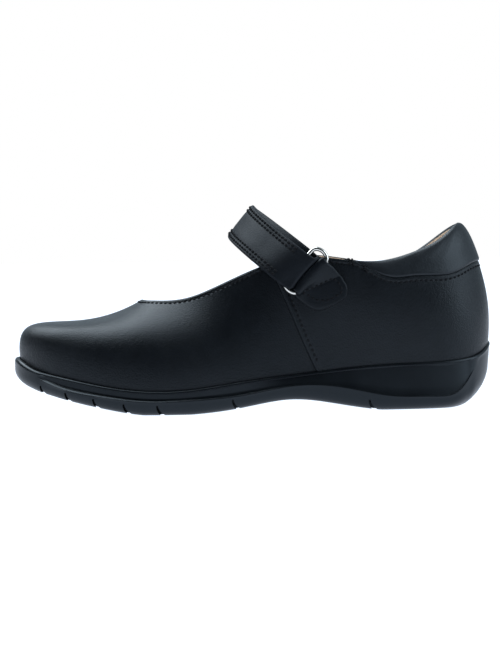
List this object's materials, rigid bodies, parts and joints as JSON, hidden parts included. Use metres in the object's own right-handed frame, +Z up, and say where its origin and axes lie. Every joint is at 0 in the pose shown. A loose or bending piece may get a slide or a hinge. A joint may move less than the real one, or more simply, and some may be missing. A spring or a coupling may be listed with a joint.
{
  "type": "school shoe",
  "caption": "Black leather bar shoe with a padded collar, a strap that folds back through a metal ring and a moulded unit sole.",
  "frame": {"origin": "centre of the bounding box's bottom, on the floor under the sole", "axes": "+Z up, toe towards -X, outer side of the left foot towards -Y"},
  "size_m": [0.206, 0.0759, 0.0876],
  "materials": {
    "sole_rubber": "satin black moulded rubber",
    "insole_lining": "tan lining leather",
    "upper_leather": "smooth black leather, satin",
    "collar_leather": "soft black leather over foam",
    "strap_leather": "smooth black leather, satin",
    "ring_nickel": "polished nickel",
    "tab_leather": "smooth black leather, satin"
  },
  "bodies": {
    "root": {"outsole": "sole_rubber", "insole": "insole_lining", "upper": "upper_leather", "collar": "collar_leather", "strap": "strap_leather", "strap_ring": "ring_nickel", "ring_tab": "tab_leather"}
  },
  "joints": []
}
